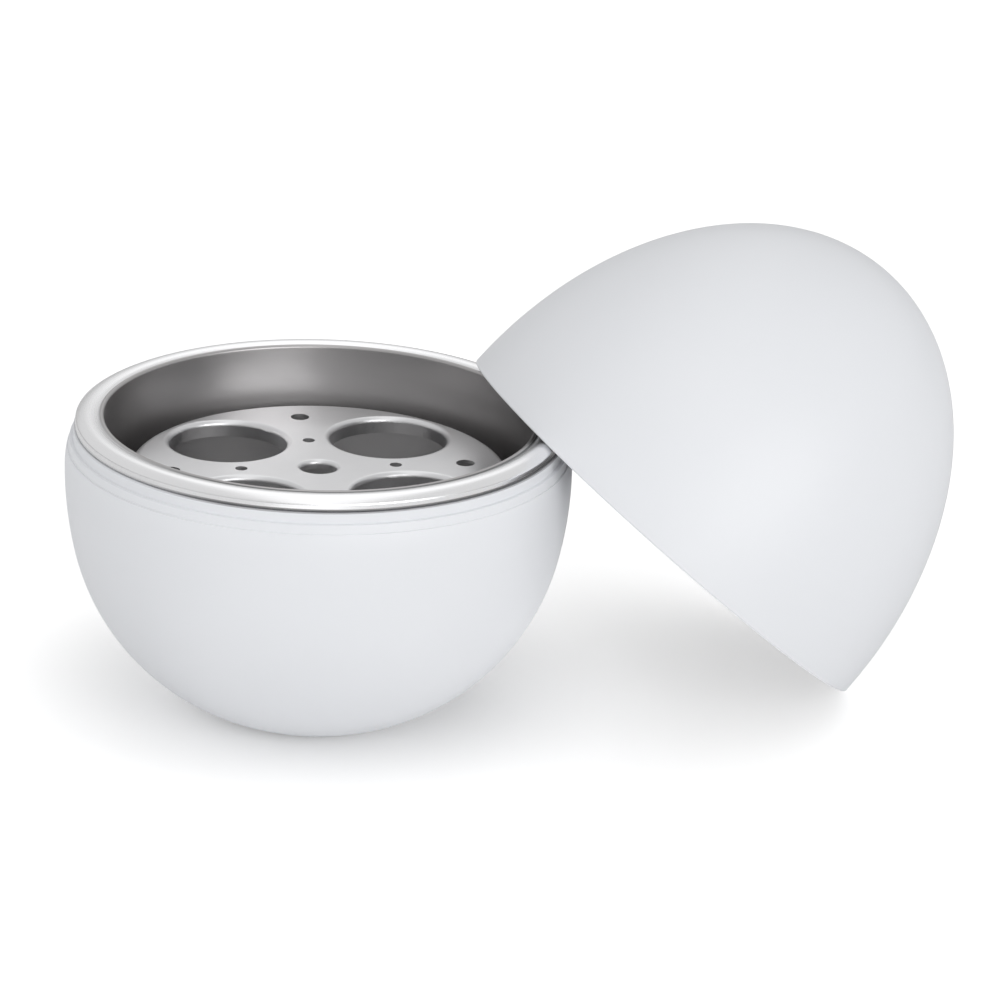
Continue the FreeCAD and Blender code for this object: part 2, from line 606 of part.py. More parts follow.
def lean_lid(pieces):
    """Lay the lid, tilted, with the lowest point of its edge on the table and the edge on the metal rim.
    It is moved in from the side until the gap to the crown of the rim is the one asked for."""
    edge = number("size.lid_edge_round")
    outer_ring = number(LID_RADIUS) - edge
    inner_ring = number(LID_INSIDE) + edge
    crown = point(CROWN_X, CROWN_Z)
    reach = number("size.rim_crown") + edge
    lean = math.asin(number(RIM_TOP + " + size.lean_lap") / (2 * outer_ring))
    height = outer_ring * math.sin(lean) - edge * math.cos(lean) + edge
    # The edge is tried at places a quarter of a degree apart over the side that faces the bowl. It is
    # flat between its two roundings, so some rings between them are tried as well.
    turns = [math.radians(quarter / 4) for quarter in range(360)]
    steps = 4
    rings = [inner_ring + (outer_ring - inner_ring) * step / steps for step in range(steps + 1)]

    def gap_at(middle):
        """The smallest gap between the edge and the crown with the mouth's middle at an x."""
        gaps = []
        for ring in rings:
            for turn in turns:
                x = middle - ring * math.cos(turn) * math.cos(lean) + edge * math.sin(lean)
                y = ring * math.sin(turn)
                z = height + ring * math.cos(turn) * math.sin(lean) + edge * math.cos(lean)
                gaps.append(math.hypot(math.hypot(x, y) - crown.x, z - crown.y) - reach)
        return min(gaps)

    near = outer_ring * math.cos(lean)
    far = outer_ring + crown.x
    halvings = 30
    for _ in range(halvings):
        middle = (near + far) / 2
        if gap_at(middle) < number("size.lean_gap"):
            near = middle
        else:
            far = middle
    tilt = FreeCAD.Rotation(FreeCAD.Vector(0, 1, 0), math.degrees(lean))
    for piece in pieces:
        piece.Placement = FreeCAD.Placement(FreeCAD.Vector(far, 0, height), tilt)


base_shell = make_base_shell()
base_liner = make_base_liner()
egg_rack = make_egg_rack()
lid_shell = make_lid_shell()
lid_liner = make_lid_liner()
place_rack(egg_rack)
lean_lid((lid_shell, lid_liner))
doc.recompute()

for item in doc.Objects:
    if "Invalid" in item.State or "Error" in item.State:
        raise RuntimeError("%s failed: %s" % (item.Name, item.State))

os.makedirs("parts", exist_ok=True)
for piece in (base_shell, base_liner, egg_rack, lid_shell, lid_liner):
    if piece.Shape.isNull() or not piece.Shape.isValid():
        raise RuntimeError("%s has no valid shape" % piece.Label)
    piece.Shape.exportStep("parts/%s.step" % piece.Label)
    box = piece.Shape.optimalBoundingBox()
    print("%-11s %8.1f mm3, x %6.1f to %6.1f, z %6.1f to %6.1f"
          % (piece.Label, piece.Shape.Volume, box.XMin, box.XMax, box.ZMin, box.ZMax))
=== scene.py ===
# %% [markdown]
# # Microwave egg cooker
# The real thing is egg-shaped and comes in two halves. The lower half is a moulded white plastic
# bowl. A spun aluminium liner hangs in it by a crowned metal rim, and a pressed rack with four
# holes stands inside. The upper half is a white plastic dome with a liner of its own. It leans on
# the rim.
# The frame gives every piece at its real size and place, in metres. This script gives the pieces
# their finished surfaces, and never moves them.

# %% Load the frame
import math

import bmesh
import bpy
from mathutils import Matrix, Vector


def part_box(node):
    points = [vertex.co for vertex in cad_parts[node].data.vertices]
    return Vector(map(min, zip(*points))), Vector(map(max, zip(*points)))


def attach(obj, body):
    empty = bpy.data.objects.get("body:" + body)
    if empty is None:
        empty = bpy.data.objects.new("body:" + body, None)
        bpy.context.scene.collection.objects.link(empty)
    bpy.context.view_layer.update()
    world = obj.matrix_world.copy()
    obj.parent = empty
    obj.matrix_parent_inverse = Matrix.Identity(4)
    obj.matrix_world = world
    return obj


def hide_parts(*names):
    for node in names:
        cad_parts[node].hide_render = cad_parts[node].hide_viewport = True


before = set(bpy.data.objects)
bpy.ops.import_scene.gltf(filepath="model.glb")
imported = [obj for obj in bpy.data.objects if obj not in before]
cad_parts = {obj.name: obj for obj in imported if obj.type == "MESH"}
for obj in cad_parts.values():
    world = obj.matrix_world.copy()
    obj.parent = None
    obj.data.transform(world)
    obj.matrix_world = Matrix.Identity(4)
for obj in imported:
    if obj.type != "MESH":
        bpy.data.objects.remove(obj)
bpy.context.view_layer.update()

for name in sorted(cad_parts):
    low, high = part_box(name)
    print(name, "from", [round(c, 4) for c in low], "to", [round(c, 4) for c in high])

# %% [markdown]
# ## Sections
# Four of the five pieces are round: each is one section, turned once about its axis. So each is
# drawn as a maker would draw it, as half a cut through the piece, from straight runs and arcs.
# The points are (radius, height). The big sizes are read from the frame, and the small ones, such as
# walls and steps, are named where they are used, in millimetres.

# %% Points of a section
mm = 0.001
degree = math.pi / 180


def arc(centre, reach, start, end, step=1.5):
    """Points of an arc about a centre, between two angles in degrees from level.
    Reach is the radius, or the half width and half height of an ellipse."""
    wide, tall = reach if isinstance(reach, tuple) else (reach, reach)
    count = max(2, round(abs(end - start) / step))
    turns = [(start + (end - start) * i / count) * degree for i in range(count + 1)]
    return [(centre[0] + wide * math.cos(t), centre[1] + tall * math.sin(t)) for t in turns]


def angle_at(centre, reach, height):
    """The angle in degrees at which an arc about a centre passes a height on its outer side."""
    return math.asin((height - centre[1]) / reach) / degree


sharp_bend = 25 * degree
most_cut = 0.3
arc_points = 7


def soften(points, size):
    """Round the sharp corners of a section, as a mould or a spinning tool leaves them. Size is how
    much is cut off each side, up to a share of that side. The weight makes the curve between a
    true arc. A point further out on each side keeps the flats flat."""
    points = [Vector(p) for p in points]
    result = [points[0]]
    for before, corner, after in zip(points, points[1:], points[2:]):
        run_in = corner - before
        run_out = after - corner
        if min(run_in.length, run_out.length) < 0.0001 * mm:
            continue
        bend = abs(run_in.angle_signed(run_out))
        if bend < sharp_bend:
            result.append(corner)
            continue
        cut = min(size, most_cut * run_in.length, most_cut * run_out.length)
        start = corner - run_in.normalized() * cut
        end = corner + run_out.normalized() * cut
        result.append(start - run_in.normalized() * 0.5 * cut)
        weight = math.cos(bend / 2)
        for i in range(arc_points):
            t = i / (arc_points - 1)
            shares = ((1 - t) ** 2, 2 * weight * t * (1 - t), t ** 2)
            result.append((start * shares[0] + corner * shares[1] + end * shares[2]) / sum(shares))
        result.append(end + run_out.normalized() * 0.5 * cut)
    result.append(points[-1])
    return [(p.x, p.y) for p in result]


# %% [markdown]
# ## A lathe in Geometry Nodes
# A section becomes a piece by sweeping it along a small circle round the axis. The tree takes the
# section as a chain of edges, so it serves every round piece, with the number of steps round the
# axis as a named input. It also keeps how far each point lies along the section, which the metal's
# turning lines follow later.

# %% Build the lathe
hub = 1 * mm


def node_tree(name, inputs):
    """An empty Geometry Nodes tree with a geometry in and out, and named inputs."""
    tree = bpy.data.node_groups.new(name, "GeometryNodeTree")
    tree.interface.new_socket("Geometry", in_out="INPUT", socket_type="NodeSocketGeometry")
    for title, kind in inputs:
        tree.interface.new_socket(title, in_out="INPUT", socket_type="NodeSocket" + kind)
    tree.interface.new_socket("Geometry", in_out="OUTPUT", socket_type="NodeSocketGeometry")
    return tree, tree.nodes.new("NodeGroupInput"), tree.nodes.new("NodeGroupOutput")


def step(tree, kind, settings=(), **sockets):
    """Add a node: its settings first, then the values or links of its sockets."""
    node = tree.nodes.new("GeometryNode" + kind)
    for key, value in dict(settings).items():
        setattr(node, key, value)
    for title, value in sockets.items():
        socket = node.inputs[title.replace("_", " ")]
        if isinstance(value, bpy.types.NodeSocket):
            tree.links.new(value, socket)
        else:
            socket.default_value = value
    return node


def make_lathe():
    """The tree that turns a section about the Z axis."""
    tree, given, result = node_tree("lathe", [("Turns", "Int"), ("Finish", "Material")])
    chain = step(tree, "MeshToCurve", Mesh=given.outputs["Geometry"])
    along = step(tree, "SplineParameter")
    kept = step(tree, "StoreNamedAttribute", {"data_type": "FLOAT", "domain": "POINT"},
                Geometry=chain.outputs["Curve"], Name="along", Value=along.outputs["Length"])
    circle = step(tree, "CurvePrimitiveCircle", Resolution=given.outputs["Turns"], Radius=hub)
    swept = step(tree, "CurveToMesh", Curve=circle.outputs["Curve"],
                 Profile_Curve=kept.outputs["Geometry"])
    closed = step(tree, "MergeByDistance", Geometry=swept.outputs["Mesh"], Distance=0.001 * mm)
    smooth = step(tree, "SetShadeSmooth", Geometry=closed.outputs["Geometry"])
    real = step(tree, "RealizeInstances", Geometry=smooth.outputs["Geometry"])
    painted = step(tree, "SetMaterial", Geometry=real.outputs["Geometry"],
                   Material=given.outputs["Finish"])
    tree.links.new(painted.outputs["Geometry"], result.inputs["Geometry"])
    return tree


def run_nodes(name, mesh, tree, values):
    """Make an object whose mesh is what a tree makes of another mesh, and drop the modifier."""
    piece = bpy.data.objects.new(name, mesh)
    bpy.context.scene.collection.objects.link(piece)
    modifier = piece.modifiers.new("nodes", "NODES")
    modifier.node_group = tree
    for item in tree.interface.items_tree:
        if item.in_out == "INPUT" and item.name in values:
            modifier[item.identifier] = values[item.name]
    graph = bpy.context.evaluated_depsgraph_get()
    made = bpy.data.meshes.new_from_object(piece.evaluated_get(graph), depsgraph=graph)
    piece.modifiers.clear()
    piece.data = made
    return piece


lathe = make_lathe()
turns = 360


def turn(name, section, finish, place=Matrix()):
    """A round piece from its section, put where it belongs. The sweep measures from the hub's
    circle and hangs the section upside down, so the chain of edges is drawn that way."""
    chain = bpy.data.meshes.new(name)
    edges = [(i, i + 1) for i in range(len(section) - 1)]
    chain.from_pydata([(r - hub, -z, 0) for r, z in section], edges, [])
    piece = run_nodes(name, chain, lathe, {"Turns": turns, "Finish": finish})
    piece.data.transform(place)
    shell = bmesh.new()
    shell.from_mesh(piece.data)
    bmesh.ops.recalc_face_normals(shell, faces=shell.faces)
    open_edges = sum(not edge.is_manifold for edge in shell.edges)
    shell.to_mesh(piece.data)
    shell.free()
    print(name, len(piece.data.polygons), "faces,", open_edges, "open edges")
    return piece


def stand_for(piece, node):
    """Let a finished piece stand for a node of the frame, on the frame's one body."""
    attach(piece, "root")
    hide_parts(node)


# %% [markdown]
# ## Shader maths
# A finish is a handful of patterns added and multiplied. A small class lets the patterns be written
# as ordinary sums, and adds a Math node for each operation.

# %% Write finishes as sums
class Wire:
    """A value inside a material."""

    def __init__(self, finish, socket):
        self.finish = finish
        self.socket = socket

    def maths(self, operation, first, second):
        """What a Math node makes of two values."""
        return self.finish.node("Math", {"operation": operation}, {0: first, 1: second})

    def __add__(self, other):
        return self.maths("ADD", self, other)

    def __sub__(self, other):
        return self.maths("SUBTRACT", self, other)

    def __rsub__(self, other):
        return self.maths("SUBTRACT", other, self)

    def __mul__(self, other):
        return self.maths("MULTIPLY", self, other)

    __radd__ = __add__
    __rmul__ = __mul__


class Finish:
    """A material that is built node by node."""

    def __init__(self, name, world=False):
        store = bpy.data.worlds if world else bpy.data.materials
        self.block = store.new(name)
        self.block.use_nodes = True
        self.tree = self.block.node_tree
        self.tree.nodes.clear()
        kind = "OutputWorld" if world else "OutputMaterial"
        self.end = self.tree.nodes.new("ShaderNode" + kind)

    def node(self, kind, settings=(), sockets=(), output=0):
        """Add a node: its settings first, then the values or links of its sockets."""
        node = self.tree.nodes.new("ShaderNode" + kind)
        for key, value in dict(settings).items():
            setattr(node, key, value)
        for key, value in dict(sockets).items():
            if isinstance(value, Wire):
                self.tree.links.new(value.socket, node.inputs[key])
            else:
                node.inputs[key].default_value = value
        return Wire(self, node.outputs[output])

    def surface(self, shader):
        """Finish with a shader."""
        self.tree.links.new(shader.socket, self.end.inputs["Surface"])
        return self.block

    def noise(self, place, scale, detail=2.0, rough=0.5, dimensions="3D"):
        """A soft random pattern from 0 to 1, over a place or along one value."""
        where = "W" if dimensions == "1D" else "Vector"
        sockets = {where: place, "Scale": scale, "Detail": detail, "Roughness": rough}
        return self.node("TexNoise", {"noise_dimensions": dimensions}, sockets)

    def ramp(self, value, low, high, first=0.0, last=1.0):
        """A soft change from the first number to the last, as a value goes from low to high."""
        return self.node("MapRange", {"interpolation_type": "SMOOTHSTEP"}, {
            "Value": value, "From Min": low, "From Max": high, "To Min": first, "To Max": last})

    def line(self, value, spot, half, depth):
        """A soft line where a value passes a spot, so wide to either side, and so strong."""
        away = self.node("Math", {"operation": "ABSOLUTE"}, {0: value - spot})
        return self.ramp(away, half, 0.4 * half, 0.0, depth)

    def shade_share(self, place):
        """A share of painted shade that falls towards the bowl's left side, which the left lamp
        lights.
        """
        # painted shade is weaker on the left, where the left lamp lights
        side = self.node("SeparateXYZ", {}, {"Vector": place}, output="X")
        return self.ramp(side, -64 * mm, -36 * mm, 0.3, 1.0)

    def colour_mix(self, share, first, second):
        """A colour between two others."""
        node = self.tree.nodes.new("ShaderNodeMix")
        node.data_type = "RGBA"
        named = {socket.identifier: socket for socket in node.inputs}
        self.tree.links.new(share.socket, named["Factor_Float"])
        for key, value in (("A_Color", first), ("B_Color", second)):
            if isinstance(value, Wire):
                self.tree.links.new(value.socket, named[key])
            else:
                named[key].default_value = (*value, 1)
        return Wire(self, [s for s in node.outputs if s.identifier == "Result_Color"][0])


# %% [markdown]
# ## White plastic
# The shells are moulded in white polypropylene. Its white is faintly cool. Up close the mould has
# left a very fine grain and slow waves, and the gloss changes a little from place to place. On the
# bowl, a fine dark line of painted shade lies on the shoulder, in the seam under the metal rim. It
# fades towards the bowl's left side, where the left lamp lights the seam. There, fainter lines of
# painted shade lie in the corners of the collar's steps, at levels that are given.

# %% Make the white plastic
white_shades = (0.80, 0.815, 0.845), (0.83, 0.842, 0.868)
# painted shade: the grey of the line in the seam under the rim and of the corner lines
painted_shade_grey = (0.42, 0.42, 0.44)
corner_width = 0.35 * mm
corner_shade = 0.2


def white_plastic(name, shade_from=None, corners=()):
    """White plastic with painted shade above a level, and lines of painted shade at corners' levels.
    """
    finish = Finish(name)
    place = finish.node("TexCoord", output="Object")
    waves = finish.noise(place, 18, 2.0)
    grain = finish.noise(place, 2600, 2.0, 0.6)
    tint = finish.colour_mix(waves, *white_shades)
    if shade_from:
        height = finish.node("SeparateXYZ", {}, {"Vector": place}, output="Z")
        shade_share = finish.shade_share(place)
        # painted shade in the seam under the rim, fainter at the left, and painted shade lines in the
        # corners
        painted_shade = finish.ramp(height, shade_from, shade_from + 0.3 * mm) * shade_share
        for level in corners:
            painted_shade = painted_shade + finish.line(height, level, corner_width, corner_shade) * (1.1 - shade_share)
        tint = finish.colour_mix(painted_shade, tint, painted_shade_grey)
    gloss = 0.34 + waves * 0.08 + grain * 0.05
    relief = finish.node("Bump", {}, {"Strength": 0.12, "Distance": 0.02 * mm, "Height": grain})
    return finish.surface(finish.node("BsdfPrincipled", {}, {
        "Base Color": tint, "Roughness": gloss, "IOR": 1.49, "Normal": relief}))


plastic = white_plastic("white_plastic")
print("made", plastic.name)

# %% [markdown]
# ## Spun aluminium
# A liner is spun: a disc of sheet turns on a lathe and a roller presses it over a former. The roller
# leaves fine rings that run round the piece, so the rings follow the distance along the section,
# which the lathe tree has kept. Wider bands of slightly different polish lie under them. The rim is
# bright. The inside, from a given distance on, is duller from steam, and darker with painted shade.
# A trimmed edge and a narrow groove each get a dark line at their own distance: painted shade at the
# edge and a painted dark reflection in the groove, both fainter towards the bowl's left side.

# %% Make the spun aluminium
ring_count = 1700
band_count = 420
bright_metal = (0.91, 0.91, 0.92)
shaded_inside_metal = (0.44, 0.43, 0.43)
painted_line_metal = (0.10, 0.10, 0.10)
dark_line = 0.8


def spun_aluminium(name, inside_from, dark_lines):
    """Aluminium, dull with painted shade from a distance on; painted dark lines as distance, half
    width.
    """
    finish = Finish(name)
    along = finish.node("Attribute", {"attribute_name": "along"}, output="Fac")
    place = finish.node("TexCoord", output="Object")
    rings = finish.noise(along, ring_count, 2.0, 0.6, "1D")
    bands = finish.noise(along, band_count, 2.0, 0.5, "1D")
    smears = finish.noise(place, 45, 3.0)
    dull_and_shade = finish.ramp(along + bands * (0.4 * mm), inside_from, inside_from + 0.6 * mm)
    # painted shade: the inside's colour is darker, while its gloss is duller from steam
    tint = finish.colour_mix(dull_and_shade, bright_metal, shaded_inside_metal)
    gloss = 0.14 + rings * 0.10 + bands * 0.06 + smears * 0.06 + dull_and_shade * 0.10
    for spot, half in dark_lines:
        # painted shade at a trimmed edge, and a painted dark reflection in a groove
        line = finish.line(along, spot, half, dark_line) * finish.shade_share(place)
        tint = finish.colour_mix(line, tint, painted_line_metal)
        gloss = gloss + line * 0.3
    relief = finish.node("Bump", {}, {
        "Strength": 0.2, "Distance": 0.004 * mm, "Height": rings * 0.4 + bands * 0.6})
    return finish.surface(finish.node("BsdfPrincipled", {}, {
        "Base Color": tint, "Metallic": 1.0, "Roughness": gloss, "Normal": relief}))


def run_length(points):
    """Length of a section's run through some points."""
    return sum(math.dist(a, b) for a, b in zip(points, points[1:]))


print("rings about every", round(1 / ring_count / mm, 2), "mm")

# %% [markdown]
# ## Pressed aluminium
# The rack is stamped from sheet. It keeps the faint straight grain of the rolling mill, and the
# press has left it satin, a little duller than the liner.

# %% Make the pressed aluminium
satin_shades = (0.70, 0.70, 0.71), (0.79, 0.79, 0.80)


def pressed_aluminium():
    """Satin sheet with a grain that runs along X."""
    finish = Finish("pressed_aluminium")
    place = finish.node("TexCoord", output="Object")
    drawn = finish.node("Mapping", {}, {"Vector": place, "Scale": (60, 2600, 60)})
    grain = finish.noise(drawn, 1.0, 3.0, 0.6)
    smears = finish.noise(place, 60, 3.0)
    tint = finish.colour_mix(smears, *satin_shades)
    gloss = 0.26 + grain * 0.10 + smears * 0.08
    relief = finish.node("Bump", {}, {"Strength": 0.2, "Distance": 0.01 * mm, "Height": grain})
    return finish.surface(finish.node("BsdfPrincipled", {}, {
        "Base Color": tint, "Metallic": 1.0, "Roughness": gloss, "Normal": relief}))


pressed = pressed_aluminium()
print("made", pressed.name)

# %% [markdown]
# ## The bowl
# The bowl's side is two arcs that pass smoothly into each other, and a tighter one draws it in at
# the top. Above that is the stepped collar: a small step, a slanted apron, the ledge on which the
# lid stands, the collar that centres it, and the lip under the metal rim.

# %% Turn the bowl
bowl_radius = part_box("base_shell")[1].x
lip_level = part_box("base_shell")[1].z
widest = 70.4 * mm
wall = 2.2 * mm
side_arc = 105 * mm
side_drop = 23.9 * mm
foot_slope = 20.0
neck_arc = 25 * mm
neck_rise = 5.4 * mm
step_width = 0.35 * mm
apron_rise = 2.5 * mm
apron_taper = 0.35 * mm
seat_width = 1.05 * mm
collar_rise = 3.1 * mm
lip_inset = 1 * mm
lip_wall = 1.9 * mm
foot_thickness = 2.8 * mm
collar_round = 0.3 * mm

side_middle = (bowl_radius - side_arc, widest)
side_angle = -math.asin(side_drop / side_arc) / degree
haunch_arc = (widest - side_drop) / (math.cos(foot_slope * degree) - side_drop / side_arc)
side_end = arc(side_middle, side_arc, side_angle, 0)[0]
haunch_middle = (side_end[0] - haunch_arc * math.cos(side_angle * degree),
                 side_end[1] - haunch_arc * math.sin(side_angle * degree))
neck_middle = (bowl_radius - neck_arc, widest)
neck_angle = angle_at(neck_middle, neck_arc, widest + neck_rise)
neck_radius = neck_middle[0] + neck_arc * math.cos(neck_angle * degree)
neck_level = widest + neck_rise
seat_level = neck_level + apron_rise
apron_radius = neck_radius - step_width
seat_radius = apron_radius - apron_taper
collar_radius = seat_radius - seat_width
shoulder = seat_level + collar_rise


def bowl_section():
    """The moulded bowl, from the middle of its foot up the outside and down the inside."""
    lip_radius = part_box("base_liner")[1].x - lip_inset
    points = [(0, 0)]
    points += arc(haunch_middle, haunch_arc, foot_slope - 90, side_angle)[:-1]
    points += arc(side_middle, side_arc, side_angle, 0)[:-1]
    points += arc(neck_middle, neck_arc, 0, neck_angle)
    points += [(apron_radius, neck_level), (seat_radius, seat_level), (collar_radius, seat_level),
               (collar_radius, shoulder), (lip_radius, shoulder), (lip_radius, lip_level),
               (lip_radius - lip_wall, lip_level), (lip_radius - lip_wall, shoulder - wall),
               (collar_radius - wall, seat_level - wall)]
    inner_neck = neck_arc - wall
    inner_angle = angle_at(neck_middle, inner_neck, neck_level - wall)
    points += arc(neck_middle, inner_neck, inner_angle, 0)[:-1]
    points += arc(side_middle, side_arc - wall, 0, side_angle)[:-1]
    inner_haunch = haunch_arc - wall
    foot_angle = angle_at(haunch_middle, inner_haunch, foot_thickness)
    points += arc(haunch_middle, inner_haunch, side_angle, foot_angle)
    return points + [(0, foot_thickness)]


shade_level = shoulder - 0.5 * mm
# painted shade from just under the shoulder up, and in lines at the seat and the neck
bowl_plastic = white_plastic("white_plastic_bowl", shade_level, (seat_level, neck_level))
bowl = turn("bowl_shell", soften(bowl_section(), collar_round), bowl_plastic)
stand_for(bowl, "base_shell")

# %% [markdown]
# ## The bowl's liner
# The liner is an elliptic cup with a flat floor. At the top its sheet runs up to a small bead, then
# over a broad convex rim, and down round the bowl's lip, where it ends just above the shoulder.

# %% Turn the liner
sheet = 0.8 * mm
sheet_round = 0.12 * mm
rim_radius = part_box("base_liner")[1].x
rim_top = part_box("base_liner")[1].z
rim_seam = 0.3 * mm
rim_corner = 1 * mm
crown_arc = 5.5 * mm
crown_inset = 3.8 * mm
rim_inner_width = 4.2 * mm
bead_arc = 0.8 * mm
bead_drop = 1 * mm
straight = 5.5 * mm
floor_radius = 17.7 * mm

liner_radius = rim_radius - crown_inset - rim_inner_width
cup_level = shoulder - straight
floor_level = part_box("base_liner")[0].z + sheet
cup_depth = (cup_level - floor_level) / math.sqrt(1 - (floor_radius / liner_radius) ** 2)


def cup_arc(radius, depth, drop):
    """An elliptic wall from the level of the floor up to the cup's level."""
    return arc((0, cup_level), (radius, depth), -math.asin(drop / depth) / degree, 0)


def crossing_angles(first, first_arc, second, second_arc):
    """Angles about two centres of the outer point where their circles cross."""
    way = Vector(second) - Vector(first)
    along = (way.length ** 2 + first_arc ** 2 - second_arc ** 2) / (2 * way.length)
    across = math.sqrt(first_arc ** 2 - along ** 2)
    unit = way.normalized()
    spot = Vector(first) + unit * along + Vector((-unit.y, unit.x)) * across
    return [math.atan2(*(spot - Vector(middle)).yx) / degree for middle in (first, second)]


def liner_section():
    """The spun liner, from the underside of its floor up the outside, over the rim and back down,
    and how far along it the rim's edge and the groove beside its bead lie."""
    crown = (rim_radius - crown_inset, rim_top - crown_arc)
    bead = (liner_radius + bead_arc, rim_top - bead_drop)
    corner_out = crown_inset - rim_corner
    corner_up = math.sqrt((crown_arc - rim_corner) ** 2 - corner_out ** 2)
    corner = (crown[0] + corner_out, crown[1] + corner_up)
    corner_angle = math.atan2(corner_up, corner_out) / degree
    bead_start, crown_end = crossing_angles(bead, bead_arc, crown, crown_arc)
    under = crown_arc - sheet
    under_in = math.acos((liner_radius + sheet - crown[0]) / under) / degree
    under_out = math.acos((rim_radius - sheet - crown[0]) / under) / degree
    points = [(0, floor_level - sheet)]
    points += cup_arc(liner_radius + sheet, cup_depth + sheet, cup_level - floor_level + sheet)
    points += arc(crown, under, under_in, under_out, 4)
    points += [(rim_radius - sheet, shoulder + rim_seam), (rim_radius, shoulder + rim_seam)]
    edge = run_length(points)
    points += arc(corner, rim_corner, 0, corner_angle, 8)[:-1]
    points += arc(crown, crown_arc, corner_angle, crown_end, 2.5)
    groove = run_length(points)
    points += arc(bead, bead_arc, bead_start, 180, 12)[1:]
    points += cup_arc(liner_radius, cup_depth, cup_level - floor_level)[::-1]
    return points + [(0, floor_level)], edge, groove


liner_points, rim_edge, rim_groove = liner_section()
# painted shade at the rim's edge, and a painted dark reflection in the groove by the bead
rim_lines = [(rim_edge, 0.6 * mm), (rim_groove, 0.35 * mm)]
spun_bowl = spun_aluminium("spun_aluminium_bowl", rim_groove, rim_lines)
liner = turn("bowl_liner", soften(liner_points, sheet_round), spun_bowl)
stand_for(liner, "base_liner")

# %% [markdown]
# ## The rack
# The rack's flanged holes and ports aren't round about its own axis, and its solid already has
# their rolled edges. So the frame's own mesh stays, and only gets its finish.

# %% Finish the rack
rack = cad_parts["egg_rack"]
rack.data.materials[0] = pressed
print("rack", len(rack.data.polygons), "faces, from the frame")

# %% [markdown]
# ## The lid
# The lid is half an egg: a tall ellipse of even wall. Its edge is rounded. Inside, a small rib
# carries the flange of its liner. The lid leans, so its section is turned about its own axis first,
# and the whole mesh is then tilted and moved to where the frame has it.

# %% Turn the lid and its liner
lid_lean = 41.4 * degree
lid_wall = 1.8 * mm
lid_fit = 0.33 * mm
lid_height = 95.7 * mm
lid_edge = 0.5 * mm
rib_level = 8.3 * mm
rib_height = 1 * mm
rib_depth = 1 * mm
dome_gap = 0.15 * mm
dome_flange = 3.2 * mm
dome_round = 1.5 * mm
dome_top_gap = 2.65 * mm
dome_flat = 3 * mm

lid_inside = collar_radius + lid_fit
lid_radius = lid_inside + lid_wall
lid_inner_height = lid_height - lid_wall
lid_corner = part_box("lid_shell")[1]
lid_reach = (math.hypot(lid_radius * math.cos(lid_lean), lid_height * math.sin(lid_lean)),
             math.hypot(lid_radius * math.sin(lid_lean), lid_height * math.cos(lid_lean)))
lid_place = (Matrix.Translation((lid_corner.x - lid_reach[0], 0, lid_corner.z - lid_reach[1]))
             @ Matrix.Rotation(lid_lean, 4, "Y"))


def inner_radius(level):
    """Radius of the lid's inner face at a level above its edge."""
    return lid_inside * math.sqrt(1 - (level / lid_inner_height) ** 2)


def ellipse_angle(tall, level):
    """The angle in degrees at which an ellipse about the edge's level passes a height."""
    return math.asin(level / tall) / degree


def lid_section():
    """The moulded dome, from its top down the outside, round the edge and up the inside."""
    outer = arc((0, 0), (lid_radius, lid_height), 90, 0)
    rib_top = rib_level + rib_height
    inner = (lid_inside, lid_inner_height)
    below = arc((0, 0), inner, 0, ellipse_angle(lid_inner_height, rib_level))
    above = arc((0, 0), inner, ellipse_angle(lid_inner_height, rib_top), 90)
    crest = inner_radius(rib_level) - rib_depth
    return outer + below + [(crest, rib_level + rib_height / 2), (crest, rib_top)] + above


def dome_section():
    """The lid's spun liner, from its top down the outside, round the flange and up the inside, and
    how far along it the inside starts and the middle of the trimmed edge lies."""
    flange_under = rib_level + rib_height + dome_gap
    flange_top = flange_under + sheet
    dome_level = flange_top + dome_round
    flange_radius = inner_radius(flange_top) - dome_gap
    dome_radius = flange_radius - dome_flange
    dome_height = lid_inner_height - dome_top_gap - dome_level
    bend = (dome_radius + dome_round, dome_level)
    outer_start = math.acos(dome_flat / dome_radius) / degree
    inner_start = math.acos(dome_flat / (dome_radius - sheet)) / degree
    points = arc((0, dome_level), (dome_radius, dome_height), outer_start, 0)
    points += arc(bend, dome_round, 180, 270, 10)[1:]
    points += [(flange_radius, flange_top), (flange_radius, flange_under)]
    outside = dome_flat + run_length(points)
    edge = outside - sheet / 2
    points += arc(bend, dome_round + sheet, 270, 180, 8)
    points += arc((0, dome_level), (dome_radius - sheet, dome_height - sheet), 0, inner_start)[1:]
    return [(0, points[0][1])] + points + [(0, points[-1][1])], outside, edge


lid = turn("lid_shell_turned", soften(lid_section(), lid_edge), plastic, lid_place)
stand_for(lid, "lid_shell")
dome_points, dome_outside, dome_edge = dome_section()
# painted shade on the dome liner's inside, and a painted shade line at its trimmed edge
spun_dome = spun_aluminium("spun_aluminium_dome", dome_outside, [(dome_edge, sheet / 2)])
dome = turn("lid_liner_turned", soften(dome_points, sheet_round), spun_dome, lid_place)
stand_for(dome, "lid_liner")

# %% [markdown]
# ## The table and the room
# The photograph shows the cooker on pure white with a soft shadow under it. The table is a large
# white disc, a hair below the foot so that the two don't share a plane. For the camera it adds
# light of its own, so that it turns white where no shadow falls. Round the bowl's foot it adds less,
# which paints a shadow there on top of the real one. For the metal, a strip of it in front of the
# bowl glows, a painted reflection like a white card laid there.

# %% Lay the table
table_radius = 3.0
table_drop = 0.02 * mm
table_mesh = bpy.data.meshes.new("table")
disc = bmesh.new()
bmesh.ops.create_circle(disc, cap_ends=True, radius=table_radius, segments=128)
bmesh.ops.translate(disc, vec=(0, 0, -table_drop), verts=disc.verts)
disc.to_mesh(table_mesh)
disc.free()
table = bpy.data.objects.new("table", table_mesh)
bpy.context.scene.collection.objects.link(table)

